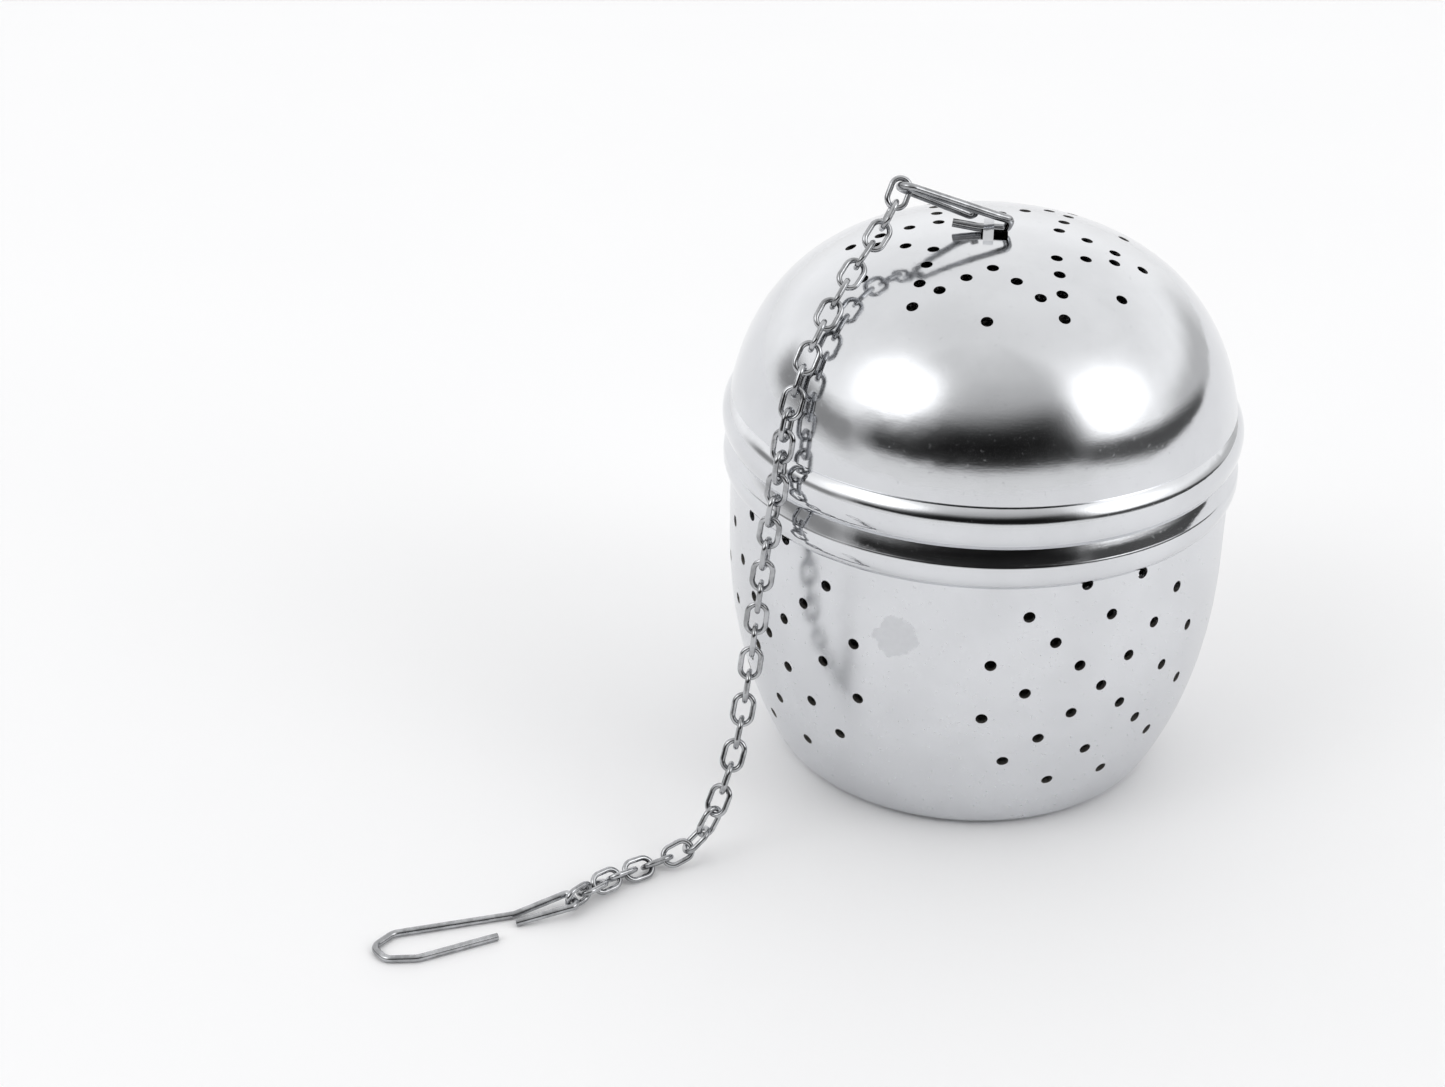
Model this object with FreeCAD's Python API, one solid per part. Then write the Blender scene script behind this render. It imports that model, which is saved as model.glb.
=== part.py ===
import FreeCAD, Part
import math
import os

from FreeCAD import Matrix, Placement, Vector

# A perforated steel tea ball: a cup, a domed lid that pushes onto it, a wire clip
# in the lid's crown, a chain of oval links and a wire hook for the rim of a mug.
# Millimetres, +Z up. The origin is the centre of the cup's flat base, on the table.

# ---------------------------------------------------------------- sheet metal
SHEET = 0.5                # thickness of both pressed shells

# Cup, from the base up
BASE_FLAT_R = 17.9         # flat that the cup stands on
BASE_CORNER_R = 2.5        # rounding between the flat and the wall
BASE_CORNER_END = 61.0     # degrees of that rounding
CUP_R = 25.04              # widest radius of the body, below the ring
CUP_WIDEST_Z = 23.4        # height where the body becomes a straight wall
CUP_DEPTH = 35.35          # depth of the body's curve if it ran on to a point
CUP_EXPONENT = 2.11        # 2 is an ellipse, more is squarer
RING_BOTTOM_Z = 30.5       # crease under the ring
RING_R = 25.74             # widest radius of the ring
RING_WIDEST_Z = 32.66
RING_SHOULDER_R = RING_R - 0.1     # on the ring's rounding, just under its widest place
RING_SHOULDER_Z = 31.4
RING_EDGE_R = RING_R - 0.03        # on the small rounding above it
RING_EDGE_Z = 32.95
RING_CONE_R = 25.6         # lower edge of the ring's cone
RING_CONE_Z = 33.2
RING_TOP_R = 24.9          # upper edge of that cone, where the ledge begins
RING_TOP_Z = 34.75         # ledge that the lid's rim sits on
RING_BULGE = 0.025         # how far the cone bulges
NECK_R = 24.1              # neck that goes up inside the lid
NECK_TOP_Z = 39.2

# Lid
RIM_GAP = 0.03             # daylight between the lid's rim and the ledge
CREASE_Z = 39.1            # lower edge of the dome
GROOVE_R = 24.87           # bottom of the groove between the dome and the bead
GROOVE_Z = 38.9
BEAD_R = 25.9              # widest radius of the lid's bead
BEAD_WIDEST_Z = 36.82
BEAD_UPPER_R = 2.6         # roundness of the bead above and below that
BEAD_LOWER_R = 4.5
RIM_R = 25.26
DOME_R = 25.66
DOME_CENTRE_Z = 30.82
DOME_RISE = 25.04
DOME_EXPONENT = 2.558
APEX_Z = DOME_CENTRE_Z + DOME_RISE

# Holes
HOLE_R = 0.58
STAR_POINTS = 6
STAR_MIDDLE_X = 0.45       # the star is punched a little off the axis
STAR_MIDDLE_Y = -1.15
STAR_TURN = -1.8           # and a little turned, in degrees
STAR_INNER_R = 6.75        # the star's inner corners, from its middle
STAR_TIP_R = 14.05         # its tips
STAR_ARM_STEPS = 3         # steps from an inner corner to a tip
ROSETTE_Z = 18.6           # height of each rosette's centre
ROSETTE_RINGS = ((3.9, 4, 45.0), (7.9, 8, 0.0), (12.0, 12, 15.0))
ROSETTE_PAIRS = ((31.7, -2.4), (-51.5, 2.4))   # azimuth and lean; each has a twin opposite

# Crown strap, pressed up out of the dome between two slits
SLOT_LEFT = -1.1
SLOT_RIGHT = 1.48
SLOT_Y = 4.0
STRAP_LEFT = -0.9
STRAP_WIDTH = 1.0
STRAP_THICK = 0.4
STRAP_UNDER_Z = APEX_Z + 0.92
STRAP_FOOT_Y = 2.4
STRAP_KNEE_Y = 1.35        # where the strap is halfway up
STRAP_KNEE_RISE = 0.6
STRAP_FLAT_Y = 0.55        # ends of its flat top

# ---------------------------------------------------------------- wire and chain
CLIP_WIRE = 0.85
HOOK_WIRE = 0.7
LINK_WIRE = 0.55
LINK_WIDTH = 2.4
LINK_LENGTH = 3.5
LINK_GAP = 0.05            # daylight between two wires that hang on each other
LINK_COUNT = 38
SLACK = 0.45               # how much closer the links lie at the end on the table
# Degrees that the chain is rolled about its own line: link number, roll. On the dome
# the odd links lie open to the front, beside the cup's ring it is twisted on a little,
# it hangs open again below that, and on the table it is rolled the other way.
ROLLS = [(1, 53.0), (4, 42.0), (9, 42.0), (12, 22.0), (16, 22.0), (20, 45.0), (28, 45.0), (32, -45.0),
         (36, -45.0), (37, -25.0), (38, 0.0)]
LINK_PITCH = LINK_LENGTH - 2 * LINK_WIRE - LINK_GAP
BAR_OFFSET = (LINK_LENGTH - LINK_WIRE) / 2        # end bar's centre from the link's centre

# Where the chain's middle line runs, from the clip's eye to the hook's eye: over the
# dome, past the bead, down with a lean to the front and out across the table. One
# point for each second link. It is taut where it hangs and a little slack elsewhere.
CLIP_EYE = Vector(-8.88, -2.72, 61.1)
CLIP_AXIS_Z = STRAP_UNDER_Z - 0.46                        # middle of the run under the strap
CLIP_EYE_ACROSS = Vector(0.3, -0.9, 0.45).normalize()     # direction of the eye's wire there
CLIP_EYE_WIDTH = 2.1                                      # between the clip's two long runs
HOOK_EYE = Vector(-35.53, -38.22, 1.3)
HOOK_EYE_ACROSS = Vector(-0.6, 0.95, 0)
ROUTE = [
    CLIP_EYE,
    Vector(-10.81, -5.93, 57.24),
    Vector(-12.9, -9.1, 54.5),
    Vector(-14.75, -12.35, 51.7),
    Vector(-16.4, -15.2, 48.4),
    Vector(-17.55, -17.35, 44.7),
    Vector(-18.2, -18.9, 40.95),
    Vector(-18.6, -19.8, 36.85),
    Vector(-19.2, -20.15, 32.4),
    Vector(-19.75, -20.4, 27.8),
    Vector(-20.2, -20.9, 23.3),
    Vector(-20.6, -21.9, 18.85),
    Vector(-21.1, -23.5, 14.5),
    Vector(-21.8, -25.3, 10.3),
    Vector(-23.0, -27.2, 6.2),
    Vector(-24.95, -29.0, 2.6),
    Vector(-28.5, -31.1, 1.1),
    Vector(-31.6, -33.6, 1.15),
    Vector(-34.05, -36.2, 1.28),
    HOOK_EYE,
]

# The links hang in a plane that faces this way round from the front, on the left
CHAIN_AZIMUTH = 43.5
CHAIN_SIDE = Vector(math.cos(math.radians(CHAIN_AZIMUTH)), -math.sin(math.radians(CHAIN_AZIMUTH)), 0)


def polar(radius, azimuth, z):
    """A point at this radius and height, azimuth in degrees from the front to the right."""
    turn = math.radians(azimuth)
    return Vector(radius * math.sin(turn), -radius * math.cos(turn), z)


# ---------------------------------------------------------------- helpers
def section(radius, z):
    return Vector(radius, 0, z)


def line(a, b):
    return Part.LineSegment(a, b).toShape()


def arc(a, middle, b):
    return Part.Arc(a, middle, b).toShape()


def oval_radius(z, radius, centre_z, rise, exponent):
    """Radius of a squared oval at height z."""
    reach = min(abs(z - centre_z) / rise, 1.0)
    return radius * (1 - reach ** exponent) ** (1 / exponent)


def oval_curve(radius, centre_z, rise, exponent, z_start, z_end, steps=12):
    """A smooth curve along a squared oval between two heights, spaced by angle."""
    way = 1 if max(z_start, z_end) > centre_z else -1

    def angle(z):
        return math.asin(min(abs(z - centre_z) / rise, 1.0) ** (exponent / 2))

    points = []
    for i in range(steps + 1):
        turn = angle(z_start) + (angle(z_end) - angle(z_start)) * i / steps
        out = radius * max(math.cos(turn), 0.0) ** (2 / exponent)
        up = centre_z + way * rise * math.sin(turn) ** (2 / exponent)
        points.append(section(out, up))
    curve = Part.BSplineCurve()
    curve.interpolate(points)
    return curve.toShape()


def revolve(edges):
    face = Part.Face(Part.Wire(edges))
    return face.revolve(Vector(0, 0, 0), Vector(0, 0, 1), 360)


def save(shape, name):
    solids = shape.Solids
    if len(solids) == 1:
        shape = solids[0]
    shape.exportStep("parts/" + name + ".step")


def bent_wire(corners, diameter):
    """A round wire in straight runs joined by bends. Each corner is a point and its bend radius."""
    edges = []
    start = corners[0][0]
    for i in range(1, len(corners) - 1):
        corner, radius = corners[i]
        back = (corners[i - 1][0] - corner).normalize()
        onward = (corners[i + 1][0] - corner).normalize()
        half = math.acos(max(-1.0, min(1.0, back.dot(onward)))) / 2
        setback = radius / math.tan(half)
        middle = (back + onward).normalize()
        bend_start = corner + back * setback
        bend_end = corner + onward * setback
        bend_middle = corner + middle * (radius / math.sin(half) - radius)
        edges.append(line(start, bend_start))
        edges.append(arc(bend_start, bend_middle, bend_end))
        start = bend_end
    edges.append(line(start, corners[-1][0]))
    return sweep(Part.Wire(edges), diameter)


def sweep(path, diameter):
    edge = path.OrderedEdges[0]
    start = edge.valueAt(edge.FirstParameter)
    tangent = edge.tangentAt(edge.FirstParameter)
    ring = Part.Wire([Part.makeCircle(diameter / 2, start, tangent)])
    return path.makePipeShell([ring], True, True)


# ---------------------------------------------------------------- shells
def dome_radius(z, inset=0.0):
    return oval_radius(z, DOME_R - inset, DOME_CENTRE_Z, DOME_RISE - inset, DOME_EXPONENT)


def cup_radius(z, inset=0.0):
    if z > CUP_WIDEST_Z:
        return CUP_R - inset
    return oval_radius(z, CUP_R - inset, CUP_WIDEST_Z, CUP_DEPTH - inset, CUP_EXPONENT)


def bead_point(inset, degrees):
    """A point on the bead, by the slope of its outward direction above level."""
    turn = math.radians(degrees)
    radius = BEAD_UPPER_R if degrees > 0 else BEAD_LOWER_R
    return section(BEAD_R - inset - radius * (1 - math.cos(turn)), BEAD_WIDEST_Z + radius * math.sin(turn))


def lid_side(inset):
    """One face of the lid's sheet, from the apex down to the rim."""
    dome_edge = section(dome_radius(CREASE_Z, inset), CREASE_Z)
    groove = section(GROOVE_R - inset, GROOVE_Z)
    widest = bead_point(inset, 0)
    rim = section(RIM_R - inset, RING_TOP_Z + RIM_GAP)
    return [
        oval_curve(DOME_R - inset, DOME_CENTRE_Z, DOME_RISE - inset, DOME_EXPONENT, APEX_Z - inset, CREASE_Z),
        line(dome_edge, groove),
        arc(groove, bead_point(inset, 27), widest),
        arc(widest, bead_point(inset, -14), rim),
    ]


def ends(edge):
    return edge.valueAt(edge.FirstParameter), edge.valueAt(edge.LastParameter)


def lid_blank():
    outer = lid_side(0)
    inner = lid_side(SHEET)
    top_outer, top_inner = ends(outer[0])[0], ends(inner[0])[0]
    rim_outer, rim_inner = ends(outer[-1])[1], ends(inner[-1])[1]
    return revolve(outer + [line(rim_outer, rim_inner)] + inner[::-1] + [line(top_inner, top_outer)])


def cup_side(inset):
    """One face of the cup's sheet, from the axis out along the base and up to the neck."""
    corner_r = BASE_CORNER_R - inset
    centre = section(BASE_FLAT_R, BASE_CORNER_R)

    def on_corner(degrees):
        turn = math.radians(degrees)
        return centre + section(corner_r * math.sin(turn), -corner_r * math.cos(turn))

    wall_start = on_corner(BASE_CORNER_END)
    body = oval_curve(CUP_R - inset, CUP_WIDEST_Z, CUP_DEPTH - inset, CUP_EXPONENT, wall_start.z, CUP_WIDEST_Z)
    body_start, body_end = ends(body)
    crease = section(CUP_R - inset, RING_BOTTOM_Z)
    widest = section(RING_R - inset, RING_WIDEST_Z)
    cone_foot = section(RING_CONE_R - inset, RING_CONE_Z)
    ledge = section(RING_TOP_R - inset, RING_TOP_Z - inset)
    cone_middle = (cone_foot + ledge) / 2 + section(RING_BULGE, RING_BULGE / 2)
    neck_foot = section(NECK_R - inset, RING_TOP_Z - inset)
    neck_top = section(NECK_R - inset, NECK_TOP_Z - SHEET / 2)
    return [
        line(section(0, inset), on_corner(0)),
        arc(on_corner(0), on_corner(BASE_CORNER_END / 2), body_start),
        body,
        line(body_end, crease),
        arc(crease, section(RING_SHOULDER_R - inset, RING_SHOULDER_Z), widest),
        arc(widest, section(RING_EDGE_R - inset, RING_EDGE_Z), cone_foot),
        arc(cone_foot, cone_middle, ledge),
        line(ledge, neck_foot),
        line(neck_foot, neck_top),
    ]


def cup_blank():
    outer = cup_side(0)
    inner = cup_side(SHEET)
    top_outer, top_inner = ends(outer[-1])[1], ends(inner[-1])[1]
    lip = arc(top_outer, section(NECK_R - SHEET / 2, NECK_TOP_Z), top_inner)
    return revolve(outer + [lip] + inner[::-1] + [line(section(0, SHEET), section(0, 0))])


def punch(point, outward):
    """A round punch through the sheet at this point."""
    return Part.makeCylinder(HOLE_R, 4.0, point - outward * 2.0, outward)


def surface_normal(radius_at, azimuth, z):
    """Outward direction of a turned surface at this height."""
    step = 0.05
    slope = (radius_at(z + step) - radius_at(z - step)) / (2 * step)
    outward = polar(1.0, azimuth, 0)
    outward.z = -slope
    return outward.normalize()


def dome_height(radius):
    """Height of the dome's outer face at this distance from the axis."""
    return DOME_CENTRE_Z + DOME_RISE * (1 - (radius / DOME_R) ** DOME_EXPONENT) ** (1 / DOME_EXPONENT)


def dome_punch(x, y):
    radius = math.hypot(x, y)
    azimuth = math.degrees(math.atan2(x, -y))
    z = dome_height(radius)
    return punch(polar(radius, azimuth, z), surface_normal(dome_radius, azimuth, z))


def star_punches():
    """A six-pointed star of holes, and one more hole between each two tips."""
    spots = []
    step = 360.0 / STAR_POINTS
    for i in range(STAR_POINTS):
        turn = STAR_TURN + i * step
        inner = polar(STAR_INNER_R, turn, 0)
        spots += [inner, polar(STAR_TIP_R, turn, 0), polar(STAR_TIP_R, turn + step / 2, 0)]
        for side in (-step / 2, step / 2):
            tip = polar(STAR_TIP_R, turn + side, 0)
            spots += [inner + (tip - inner) * (j / STAR_ARM_STEPS) for j in range(1, STAR_ARM_STEPS)]
    return [dome_punch(spot.x + STAR_MIDDLE_X, spot.y + STAR_MIDDLE_Y) for spot in spots]


def rosette_punches(azimuth, lean):
    """A hole in the middle and three rings of holes, laid flat on the cup's wall."""
    spots = [(0.0, 0.0)]
    for ring_r, count, first in ROSETTE_RINGS:
        for i in range(count):
            turn = math.radians(first + lean + 360.0 * i / count)
            spots.append((ring_r * math.cos(turn), ring_r * math.sin(turn)))
    punches = []
    for across, up in spots:
        z = ROSETTE_Z + up
        at = azimuth + math.degrees(across / cup_radius(z))
        punches.append(punch(polar(cup_radius(z), at, z), surface_normal(cup_radius, at, z)))
    return punches


def crown_strap():
    """The arched strap over the slot in the crown, running front to back."""
    half = STRAP_FOOT_Y
    foot_z = dome_height(half) - SHEET / 2
    top_z = STRAP_UNDER_Z + STRAP_THICK

    def at(y, z):
        return Vector(STRAP_LEFT, y, z)

    knee_z = APEX_Z + STRAP_KNEE_RISE
    over = [at(-half, foot_z + STRAP_THICK / 2), at(-STRAP_KNEE_Y, knee_z + STRAP_THICK / 2),
            at(-STRAP_FLAT_Y, top_z)]
    under = [at(-half + STRAP_THICK / 4, foot_z - STRAP_THICK / 2),
             at(-STRAP_KNEE_Y + STRAP_THICK * 5 / 8, knee_z - STRAP_THICK / 2),
             at(-STRAP_FLAT_Y, STRAP_UNDER_Z)]
    mirror = [Vector(p.x, -p.y, p.z) for p in over[::-1]]
    under_mirror = [Vector(p.x, -p.y, p.z) for p in under[::-1]]
    top_curve = Part.BSplineCurve()
    top_curve.interpolate(over + mirror)
    low_curve = Part.BSplineCurve()
    low_curve.interpolate(under + under_mirror)
    edges = [top_curve.toShape(), line(mirror[-1], under_mirror[-1]), low_curve.toShape(), line(under[0], over[0])]
    face = Part.Face(Part.Wire(Part.__sortEdges__(edges)))
    return face.extrude(Vector(STRAP_WIDTH, 0, 0))


def make_lid():
    slot = Part.makeBox(SLOT_RIGHT - SLOT_LEFT, SLOT_Y, 4.0, Vector(SLOT_LEFT, -SLOT_Y / 2, APEX_Z - 2.0))
    lid = lid_blank().cut(Part.makeCompound(star_punches() + [slot]))
    return lid.fuse(crown_strap()).removeSplitter()


def make_cup():
    punches = []
    for azimuth, lean in ROSETTE_PAIRS:
        punches += rosette_punches(azimuth, lean)
        punches += rosette_punches(azimuth + 180.0, lean)
    return cup_blank().cut(Part.makeCompound(punches))


# ---------------------------------------------------------------- wire pieces
def make_clip():
    """A closed loop of wire: under the strap, back over it, round the eye and home."""
    eye_side = CLIP_EYE_ACROSS * (CLIP_EYE_WIDTH / 2)
    eye_bend = CLIP_EYE_WIDTH / 2 - 0.02
    corners = [
        (Vector(-3.9, 0.0, 56.62), 0),
        (Vector(-1.5, -0.12, CLIP_AXIS_Z), 2.0),
        (Vector(1.3, -0.12, CLIP_AXIS_Z), 0.5),
        (Vector(1.68, -0.6, 57.42), 0.55),
        (Vector(0.2, -1.15, 58.0), 2.0),
        (CLIP_EYE + eye_side, eye_bend),
        (CLIP_EYE - eye_side, eye_bend),
        (Vector(-3.3, 0.7, 57.57), 1.5),
        (Vector(-1.95, 1.0, 56.97), 0.45),
        (Vector(-1.75, 0.9, 57.7), 0),
    ]
    return bent_wire(corners, CLIP_WIRE)


def make_hook():
    """An open hook lying on the table, with a raised flat eye at the chain's end."""
    flat = HOOK_WIRE / 2 + 0.02
    corners = [
        (Vector(-41.8, -43.6, flat), 0),
        (Vector(-48.5, -47.75, flat), 2.0),
        (Vector(-51.4, -48.25, flat), 1.2),
        (Vector(-53.0, -46.75, flat), 1.0),
        (Vector(-51.6, -44.45, flat), 1.5),
        (Vector(-40.9, -40.15, flat), 3.0),
        (HOOK_EYE + HOOK_EYE_ACROSS, 0.55),
        (HOOK_EYE - HOOK_EYE_ACROSS, 0.55),
        (Vector(-40.5, -41.35, flat), 0),
    ]
    return bent_wire(corners, HOOK_WIRE)


# ---------------------------------------------------------------- chain
def link_roll(number):
    """The roll at this link, straight between the places where it is given."""
    for (low, low_roll), (high, high_roll) in zip(ROLLS, ROLLS[1:]):
        if low <= number <= high:
            return low_roll + (high_roll - low_roll) * (number - low) / (high - low)
    raise ValueError("no such link")


def eye_offset(eye_wire):
    """How far the middle of an end link lies from the middle of the eye's wire."""
    return BAR_OFFSET - (LINK_WIRE + eye_wire) / 2 - LINK_GAP


def chain_line():
    """A smooth curve along the chain whose parameter is the number of the link there."""
    first = 1 - eye_offset(CLIP_WIRE) / LINK_PITCH
    last = LINK_COUNT + eye_offset(HOOK_WIRE) / (LINK_PITCH - SLACK)
    numbers = [first] + list(range(3, LINK_COUNT, 2)) + [last]
    curve = Part.BSplineCurve()
    curve.interpolate(Points=ROUTE, Parameters=numbers)
    return curve


def link_shape():
    """One oval link about the origin, long way X, flat in XY."""
    round_r = (LINK_WIDTH - LINK_WIRE) / 2
    straight = (LINK_LENGTH - LINK_WIDTH) / 2
    path = Part.Wire([
        line(Vector(-straight, -round_r, 0), Vector(straight, -round_r, 0)),
        arc(Vector(straight, -round_r, 0), Vector(straight + round_r, 0, 0), Vector(straight, round_r, 0)),
        line(Vector(straight, round_r, 0), Vector(-straight, round_r, 0)),
        arc(Vector(-straight, round_r, 0), Vector(-straight - round_r, 0, 0), Vector(-straight, -round_r, 0)),
    ])
    return sweep(path, LINK_WIRE)


def link_frame(curve, number):
    """Middle of the link, its long direction, its flat's width direction and its normal."""
    middle = curve.value(number)
    along = curve.tangent(number)[0]
    side = (CHAIN_SIDE - along * CHAIN_SIDE.dot(along)).normalize()
    out = along.cross(side)
    roll = math.radians(link_roll(number) - (0.0 if number % 2 else 90.0))
    normal = out * math.cos(roll) + side * math.sin(roll)
    return middle, along, normal.cross(along), normal


def place(shape, middle, along, across, normal):
    matrix = Matrix(along.x, across.x, normal.x, middle.x,
                    along.y, across.y, normal.y, middle.y,
                    along.z, across.z, normal.z, middle.z,
                    0, 0, 0, 1)
    placed = shape.copy()
    placed.Placement = Placement(matrix)
    return placed


def make_chain():
    curve = chain_line()
    link = link_shape()
    return [place(link, *link_frame(curve, number)) for number in range(1, LINK_COUNT + 1)]


def main():
    os.makedirs("parts", exist_ok=True)
    save(make_cup(), "cup_shell")
    save(make_lid(), "lid_shell")
    save(make_clip(), "crown_clip")
    for number, link in enumerate(make_chain(), 1):
        save(link, "chain_link_%02d" % number)
    save(make_hook(), "end_hook")


main()
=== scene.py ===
import math

import bpy
from mathutils import Matrix, Vector

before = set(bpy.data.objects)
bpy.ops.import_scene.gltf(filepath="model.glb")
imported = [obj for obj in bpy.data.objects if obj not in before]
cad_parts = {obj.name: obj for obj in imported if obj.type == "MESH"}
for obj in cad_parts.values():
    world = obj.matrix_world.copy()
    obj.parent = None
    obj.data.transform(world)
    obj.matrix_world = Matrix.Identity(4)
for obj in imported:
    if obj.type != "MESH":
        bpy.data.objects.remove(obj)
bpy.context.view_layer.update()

MM = 0.001


# ---------------------------------------------------------------- node helpers
def add_node(tree, kind, inputs=None, **settings):
    """A node with some settings; each input is a value or another node's output."""
    node = tree.nodes.new(kind)
    for key, value in settings.items():
        setattr(node, key, value)
    for key, value in (inputs or {}).items():
        if isinstance(value, bpy.types.NodeSocket):
            tree.links.new(value, node.inputs[key])
        else:
            node.inputs[key].default_value = value
    return node


def ramp(tree, factor, stops):
    """A colour ramp in greys; each stop is a place and a brightness."""
    node = add_node(tree, "ShaderNodeValToRGB", {"Fac": factor})
    elements = node.color_ramp.elements
    while len(elements) < len(stops):
        elements.new(0.5)
    for element, (place, grey) in zip(elements, stops):
        element.position = place
        element.color = (grey, grey, grey, 1)
    return node.outputs["Color"]


def maths(tree, operation, *values):
    """One step of arithmetic on values or outputs."""
    return add_node(tree, "ShaderNodeMath", dict(enumerate(values)), operation=operation).outputs[0]


def vector_maths(tree, operation, first, second):
    """A node's outputs: "Vector", or "Value" for a dot product or a distance."""
    return add_node(tree, "ShaderNodeVectorMath", {0: first, 1: second}, operation=operation).outputs


def colour_mix(tree, factor, first, second):
    return add_node(tree, "ShaderNodeMix", {0: factor, 6: first, 7: second}, data_type="RGBA").outputs[2]


def noise(tree, place, scale, detail=2.0, roughness=0.5):
    """Procedural noise about 0.5; the scale is in bumps per metre."""
    return add_node(tree, "ShaderNodeTexNoise", {"Vector": place, "Scale": scale, "Detail": detail,
                                                 "Roughness": roughness}).outputs["Fac"]


def new_material(name):
    """A material with its nodes, its shader and the place on the object, in metres."""
    material = bpy.data.materials.new(name)
    material.use_nodes = True
    tree = material.node_tree
    place = add_node(tree, "ShaderNodeTexCoord").outputs["Object"]
    return material, tree, tree.nodes["Principled BSDF"], place


def finish_metal(tree, shader, colour, rough, normal):
    """Joins the looks of a metal surface to its shader."""
    tree.links.new(colour, shader.inputs["Base Color"])
    tree.links.new(rough, shader.inputs["Roughness"])
    tree.links.new(normal, shader.inputs["Normal"])
    shader.inputs["Metallic"].default_value = 1.0


# ---------------------------------------------------------------- camera
CAMERA_PLACE = Vector((0.0, -227.15, 145.51)) * MM
CAMERA_TURN = math.radians(-6.515)       # to the left of straight ahead
CAMERA_DOWN = math.radians(28.825)
CAMERA_ROLL = math.radians(0.51)
CAMERA_LENS = 62.28
SENSOR_WIDTH = 36.0


def make_camera():
    forward = Vector((math.sin(CAMERA_TURN) * math.cos(CAMERA_DOWN),
                      math.cos(CAMERA_TURN) * math.cos(CAMERA_DOWN),
                      -math.sin(CAMERA_DOWN)))
    level_right = forward.cross(Vector((0, 0, 1))).normalized()
    level_up = level_right.cross(forward)
    right = level_right * math.cos(CAMERA_ROLL) + level_up * math.sin(CAMERA_ROLL)
    up = right.cross(forward)
    data = bpy.data.cameras.new("photo_camera")
    data.lens = CAMERA_LENS
    data.sensor_width = SENSOR_WIDTH
    data.clip_start = 0.005
    camera = bpy.data.objects.new("photo_camera", data)
    turn = Matrix((right, up, -forward)).transposed().to_4x4()
    camera.matrix_world = Matrix.Translation(CAMERA_PLACE) @ turn
    bpy.context.scene.collection.objects.link(camera)
    bpy.context.scene.camera = camera


# ---------------------------------------------------------------- light and floor
# Directions are given by azimuth, in degrees from the front to the right, and elevation.
# A window is where it starts, where it ends and how soft its edges are, in degrees.
# Brightness of the studio by elevation: in front there is a dark gap above the table
# where the camera stands, and behind there are white walls.
FRONT_WINDOW = (-58, 54, 12)
FRONT_LEVELS = [(0, 0.88), (6, 0.84), (8.5, 0.66), (10.5, 0.25), (12.5, 0.02), (21, 0.008), (27, 0.02),
                (31, 0.06), (36, 0.22), (43, 0.46), (50, 0.56), (62, 0.7), (75, 0.79), (90, 0.9)]
FRONT_SLOPE = 0.09                       # the dark gap's upper edge rises to the right, degrees per degree
FRONT_SLOPE_FROM = (14, 25)              # elevations between which that slope comes in
BACK_LEVELS = [(0, 0.98), (15, 1.15), (40, 1.0), (60, 0.97), (75, 0.9), (90, 0.88)]
TOP_LEVEL = 1.5                          # the levels are scaled by this to fit a colour ramp
RIGHT_WALL = 0.62                        # brightness of a greyer wall on the right, low down
RIGHT_WALL_WINDOW = (96, 150, 12)
RIGHT_WALL_TOP = (22, 8)                 # elevations between which it fades in
RIGHT_GAP = 0.08                         # brightness of the gap beside it, which slopes
RIGHT_GAP_WINDOW = (46, 122, 8)
RIGHT_GAP_SLOPE = 0.22
RIGHT_GAP_HEIGHTS = (18, 29.5, 3)
LEFT_GAP = 0.3                           # brightness of a softer gap on the left
LEFT_GAP_WINDOW = (-114, -56, 8)
LEFT_GAP_HEIGHTS = (4, 19, 5)
LEFT_LAMP = (-50, 42, 10.0, 2.9)         # azimuth, elevation, spread and strength
RIGHT_LAMP = (70, 33, 10.0, 2.4)
LAMP_FOOT = (11, 24)                     # the lamps fade out below this
BACKDROP = 0.97                          # plain wall seen past the table's edge in low views

TABLE_HALF_WIDTH = 6.0
TABLE_WHITES = ((0.97, 0.97, 0.98, 1), (0.995, 0.995, 1.0, 1))
TABLE_CLOUDS = 18.0                      # unevenness of its white, in bumps per metre


def light_direction(azimuth, elevation):
    turn, up = math.radians(azimuth), math.radians(elevation)
    return Vector((math.sin(turn) * math.cos(up), -math.cos(turn) * math.cos(up), math.sin(up)))


def smooth(tree, value, start, end, low=0.0, high=1.0):
    """Goes softly from low to high as the value goes from start to end."""
    return add_node(tree, "ShaderNodeMapRange", {"Value": value, "From Min": start, "From Max": end,
                                                 "To Min": low, "To Max": high},
                    interpolation_type="SMOOTHSTEP").outputs["Result"]


def window(tree, value, start, end, soft):
    """1 between start and end, with edges this soft."""
    rise = smooth(tree, value, start - soft, start + soft)
    fall = smooth(tree, value, end - soft, end + soft, 1.0, 0.0)
    return maths(tree, "MULTIPLY", rise, fall)


def mix(tree, factor, first, second):
    return add_node(tree, "ShaderNodeMix", {0: factor, 2: first, 3: second}, data_type="FLOAT").outputs[0]


def levels(tree, elevation, stops):
    fraction = maths(tree, "DIVIDE", elevation, 90.0)
    return ramp(tree, fraction, [(degrees / 90.0, grey / TOP_LEVEL) for degrees, grey in stops])


def soft_lamp(tree, direction, azimuth, elevation, spread, strength):
    """A round lamp with a soft edge, far away, as part of the surroundings."""
    aim = vector_maths(tree, "DOT_PRODUCT", direction, light_direction(azimuth, elevation))["Value"]
    fall = 1.0 / math.radians(spread) ** 2
    near = maths(tree, "MULTIPLY_ADD", aim, fall, -fall)
    return maths(tree, "MULTIPLY", maths(tree, "EXPONENT", near), strength)


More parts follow.
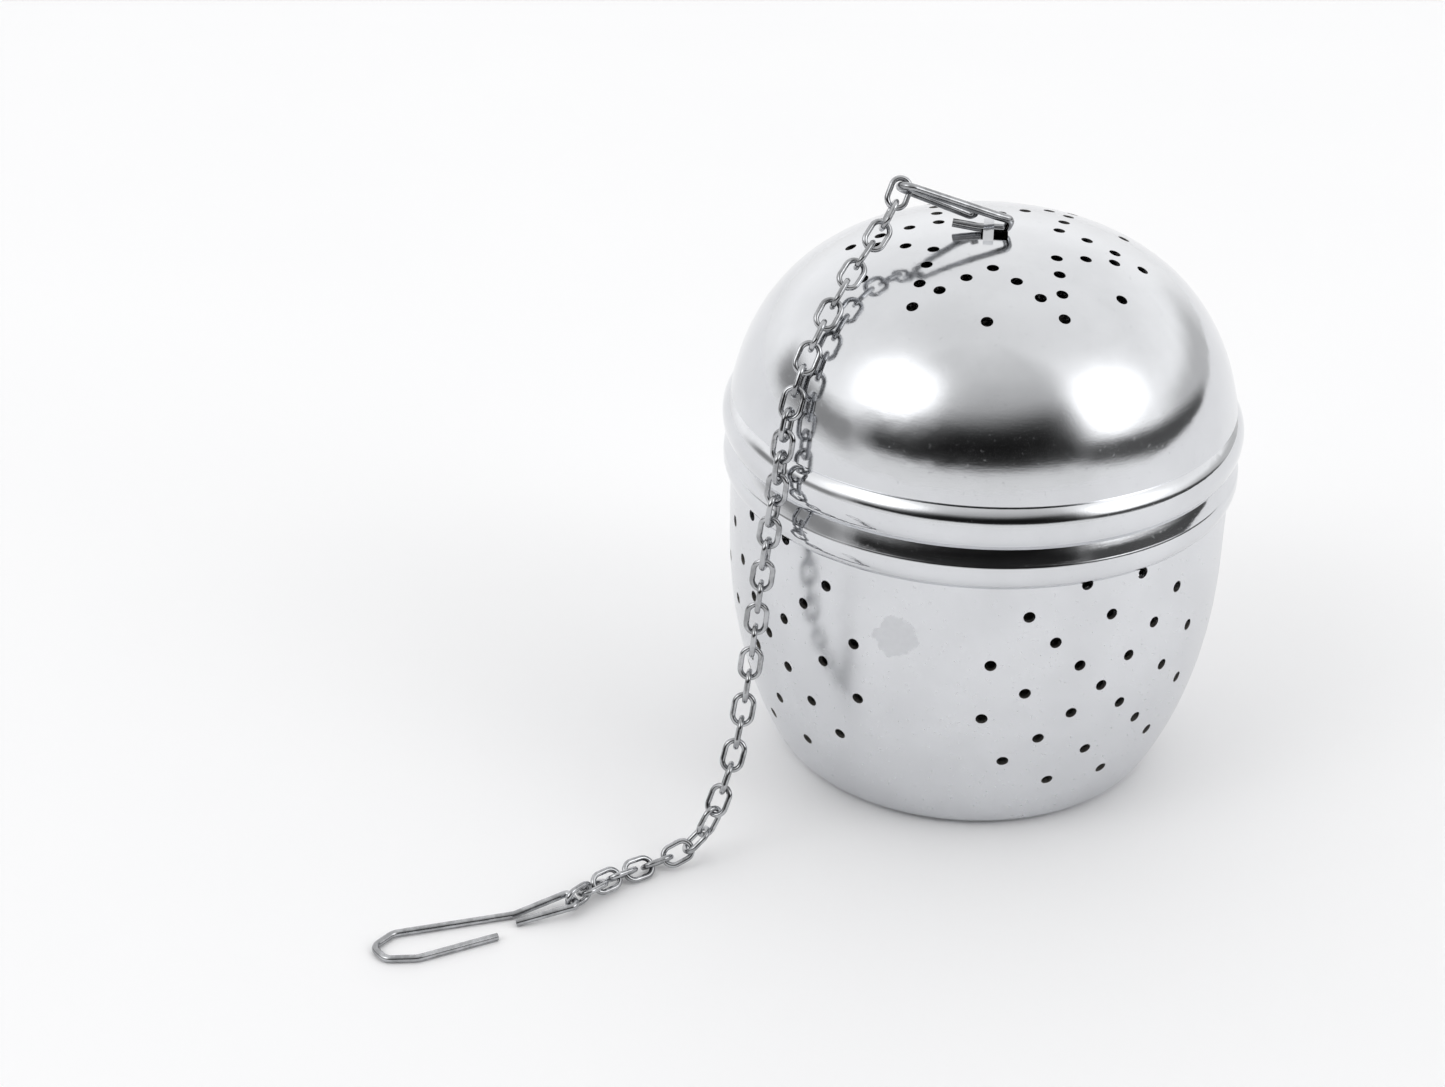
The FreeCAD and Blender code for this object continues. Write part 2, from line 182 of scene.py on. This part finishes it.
def make_light():
    """White studio walls, a dark gap where the camera stands and two soft lamps."""
    world = bpy.data.worlds.new("studio")
    bpy.context.scene.world = world
    world.use_nodes = True
    tree = world.node_tree
    tree.nodes.clear()
    direction = add_node(tree, "ShaderNodeTexCoord").outputs["Generated"]
    xyz = add_node(tree, "ShaderNodeSeparateXYZ", {0: direction}).outputs
    to_front = maths(tree, "MULTIPLY", xyz["Y"], -1.0)
    azimuth = maths(tree, "DEGREES", maths(tree, "ARCTAN2", xyz["X"], to_front))
    elevation = maths(tree, "DEGREES", maths(tree, "ARCSINE", xyz["Z"]))
    lean = maths(tree, "MULTIPLY", azimuth, smooth(tree, elevation, *FRONT_SLOPE_FROM, 0.0, -FRONT_SLOPE))
    front_elevation = maths(tree, "ADD", elevation, lean)
    front = maths(tree, "MULTIPLY", levels(tree, front_elevation, FRONT_LEVELS), TOP_LEVEL)
    back = maths(tree, "MULTIPLY", levels(tree, elevation, BACK_LEVELS), TOP_LEVEL)
    walls = mix(tree, window(tree, azimuth, *FRONT_WINDOW), back, front)
    low = smooth(tree, elevation, *RIGHT_WALL_TOP)
    right_wall = maths(tree, "MULTIPLY", window(tree, azimuth, *RIGHT_WALL_WINDOW), low)
    walls = mix(tree, right_wall, walls, RIGHT_WALL)
    sloping = maths(tree, "MULTIPLY_ADD", azimuth, RIGHT_GAP_SLOPE, elevation)
    right_gap = maths(tree, "MULTIPLY", window(tree, azimuth, *RIGHT_GAP_WINDOW),
                      window(tree, sloping, *RIGHT_GAP_HEIGHTS))
    walls = mix(tree, right_gap, walls, RIGHT_GAP)
    left_gap = maths(tree, "MULTIPLY", window(tree, azimuth, *LEFT_GAP_WINDOW),
                     window(tree, elevation, *LEFT_GAP_HEIGHTS))
    walls = mix(tree, left_gap, walls, LEFT_GAP)
    both = maths(tree, "ADD", soft_lamp(tree, direction, *LEFT_LAMP), soft_lamp(tree, direction, *RIGHT_LAMP))
    lamps = maths(tree, "MULTIPLY", both, smooth(tree, elevation, *LAMP_FOOT))
    seen = add_node(tree, "ShaderNodeLightPath").outputs["Is Camera Ray"]
    total = mix(tree, seen, maths(tree, "ADD", walls, lamps), BACKDROP)
    background = add_node(tree, "ShaderNodeBackground", {"Color": total, "Strength": 1.0})
    output = add_node(tree, "ShaderNodeOutputWorld")
    tree.links.new(background.outputs[0], output.inputs[0])


def make_floor():
    """A white table with a faint unevenness."""
    size = TABLE_HALF_WIDTH
    mesh = bpy.data.meshes.new("floor")
    corners = [(-size, -size, 0), (size, -size, 0), (size, size, 0), (-size, size, 0)]
    mesh.from_pydata(corners, [], [(0, 1, 2, 3)])
    floor = bpy.data.objects.new("floor", mesh)
    bpy.context.scene.collection.objects.link(floor)
    material, tree, shader, place = new_material("white_table")
    white = colour_mix(tree, noise(tree, place, TABLE_CLOUDS, 3.0), *TABLE_WHITES)
    tree.links.new(white, shader.inputs["Base Color"])
    shader.inputs["Roughness"].default_value = 0.6
    shader.inputs["Specular IOR Level"].default_value = 0.15
    mesh.materials.append(material)


# ---------------------------------------------------------------- materials
SHELL_MIDDLE = Vector((0, 0, 30)) * MM
FACING_SOFTNESS = 4 * MM                 # how far past edge-on a face has turned to count as inside
BELOW_RING = (31.0 * MM, 30.0 * MM)      # where the cup's ring runs out into its plain wall
ABOVE_BEAD = (38.3 * MM, 39.3 * MM)      # where the lid's bead runs out into its dome
STEEL_GREYS = (0.685, 0.735)             # reflectance of the sheet, between smears
SPECK_COLOUR = (0.45, 0.46, 0.48, 1)
MARK_COLOUR = (0.5, 0.51, 0.53, 1)
INSIDE_PAINTED_SHADE = (0.3, 0.287, 0.265, 1)     # painted shade: a dark brownish colour for the shell's inner faces, which sit in its hollow; those faces are also unpolished
WATER_MARK = (Vector((-6.7, -24.1, 24.1)) * MM, 2.1 * MM)     # middle and radius, on the cup's front
# Scales are in bumps per metre and depths in metres
SMEARS, SPECKS, TURNING, DENTS, GRAIN = 130.0, 2600.0, 5200.0, 90.0, 4200.0
DENT_DEPTH, TURNING_DEPTH, GRAIN_DEPTH = 0.00003, 0.0000012, 0.0000016
TARNISH, RUBBING, DRAWING, PITS = 700.0, 1300.0, 2400.0, 9000.0
DRAWING_DEPTH, PIT_DEPTH = 0.000006, 0.000002
MARK_EDGE, MARK_INSIDE = 900.0, 1500.0


def bump(tree, height, depth, normal=None):
    """Raises the surface by this many metres where the height is 1."""
    inputs = {"Height": height, "Distance": depth, "Strength": 1.0}
    if normal:
        inputs["Normal"] = normal
    return add_node(tree, "ShaderNodeBump", inputs).outputs["Normal"]


def grey_mix(tree, factor, dark, light):
    """Between two slightly bluish greys."""
    def tint(grey):
        return (grey * 0.985, grey, grey * 1.03, 1)

    return colour_mix(tree, factor, tint(dark), tint(light))


def turned_place(tree, place):
    """Coordinates for marks that run round the axis: slow round it, quick up and out."""
    xyz = add_node(tree, "ShaderNodeSeparateXYZ", {0: place}).outputs
    radius = maths(tree, "SQRT", maths(tree, "ADD", maths(tree, "POWER", xyz["X"], 2.0),
                                       maths(tree, "POWER", xyz["Y"], 2.0)))
    turn = maths(tree, "ARCTAN2", xyz["X"], xyz["Y"])
    around = maths(tree, "MULTIPLY", turn, 0.002)
    return add_node(tree, "ShaderNodeCombineXYZ", {0: radius, 1: around, 2: xyz["Z"]}).outputs[0]


def inside_face(tree, place):
    """1 on faces that look towards the middle of the shell, 0 on those that look out."""
    outward = vector_maths(tree, "SUBTRACT", place, SHELL_MIDDLE)["Vector"]
    normal = add_node(tree, "ShaderNodeNewGeometry").outputs["True Normal"]
    facing = vector_maths(tree, "DOT_PRODUCT", outward, normal)["Value"]
    return smooth(tree, facing, 0.0, -FACING_SOFTNESS)


def shell_steel(name, polish, satin, satin_heights, stain=None):
    """Pressed and polished sheet: a soft mirror with fine turning marks, specks and smears.

    Between the two heights the roughness rises by the satin amount, so a rolled ring or bead
    is shinier than the plain sheet beside it."""
    material, tree, shader, place = new_material(name)
    smears = noise(tree, place, SMEARS, 4.0, 0.6)
    specks = smooth(tree, noise(tree, place, SPECKS, 1.0), 0.66, 0.78)
    lines = noise(tree, turned_place(tree, place), TURNING, 2.0)
    colour = grey_mix(tree, smooth(tree, smears, 0.3, 0.7), *STEEL_GREYS)
    colour = colour_mix(tree, maths(tree, "MULTIPLY", specks, 0.12), colour, SPECK_COLOUR)
    rough = maths(tree, "ADD", smooth(tree, smears, 0.3, 0.75, polish, polish + 0.045),
                  maths(tree, "MULTIPLY", lines, 0.02))
    height = add_node(tree, "ShaderNodeSeparateXYZ", {0: place}).outputs["Z"]
    rough = maths(tree, "ADD", rough, smooth(tree, height, *satin_heights, 0.0, satin))
    rough = maths(tree, "ADD", rough, maths(tree, "MULTIPLY", specks, 0.1))
    if stain:
        spot = water_mark(tree, place, *stain)
        colour = colour_mix(tree, maths(tree, "MULTIPLY", spot, 0.42), colour, MARK_COLOUR)
        rough = maths(tree, "ADD", rough, maths(tree, "MULTIPLY", spot, 0.1))
    # painted shade: faces inside the shell take a dark colour, as if in the hollow's shade, and a rougher
    # finish
    inside = inside_face(tree, place)
    colour = colour_mix(tree, inside, colour, INSIDE_PAINTED_SHADE)
    rough = maths(tree, "ADD", rough, maths(tree, "MULTIPLY", inside, 0.3))
    dents = bump(tree, noise(tree, place, DENTS, 1.0), DENT_DEPTH)
    turned = bump(tree, lines, TURNING_DEPTH, dents)
    grain = bump(tree, noise(tree, place, GRAIN, 2.0), GRAIN_DEPTH, turned)
    finish_metal(tree, shader, colour, rough, grain)
    return material


def water_mark(tree, place, middle, radius):
    """A dried drop with a ragged edge."""
    away = vector_maths(tree, "DISTANCE", place, middle)["Value"]
    ragged = maths(tree, "MULTIPLY", noise(tree, place, MARK_EDGE, 3.0), radius)
    edge = maths(tree, "ADD", away, ragged)
    inside = smooth(tree, edge, radius * 1.45, radius * 1.6, 1.0, 0.0)
    uneven = smooth(tree, noise(tree, place, MARK_INSIDE, 2.0), 0.2, 0.7, 0.75, 1.0)
    return maths(tree, "MULTIPLY", inside, uneven)


def wire_steel(name, dark, light, rough_low, rough_high):
    """Drawn wire: bright, with faint pits, tarnish and rubbed places."""
    material, tree, shader, place = new_material(name)
    tarnish = noise(tree, place, TARNISH, 3.0, 0.6)
    colour = grey_mix(tree, smooth(tree, tarnish, 0.35, 0.65), dark, light)
    rough = smooth(tree, noise(tree, place, RUBBING, 2.0), 0.3, 0.7, rough_low, rough_high)
    draw = bump(tree, noise(tree, place, DRAWING, 2.0), DRAWING_DEPTH)
    pits = bump(tree, noise(tree, place, PITS, 2.0), PIT_DEPTH, draw)
    finish_metal(tree, shader, colour, rough, pits)
    return material


make_camera()
make_light()
make_floor()
# Finish of each node, by how its name starts
finishes = {
    "cup_shell": shell_steel("cup_steel", 0.05, 0.15, BELOW_RING, WATER_MARK),
    "lid_shell": shell_steel("lid_steel", 0.03, 0.06, ABOVE_BEAD),
    "crown_clip": wire_steel("clip_steel", 0.27, 0.42, 0.1, 0.2),
    "end_hook": wire_steel("hook_steel", 0.34, 0.52, 0.08, 0.18),
    "chain_link": wire_steel("chain_steel", 0.3, 0.5, 0.04, 0.1),
}
for name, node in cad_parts.items():
    finish = next(steel for start, steel in finishes.items() if name.startswith(start))
    node.data.materials.clear()
    node.data.materials.append(finish)
bpy.context.scene.view_settings.view_transform = "Standard"
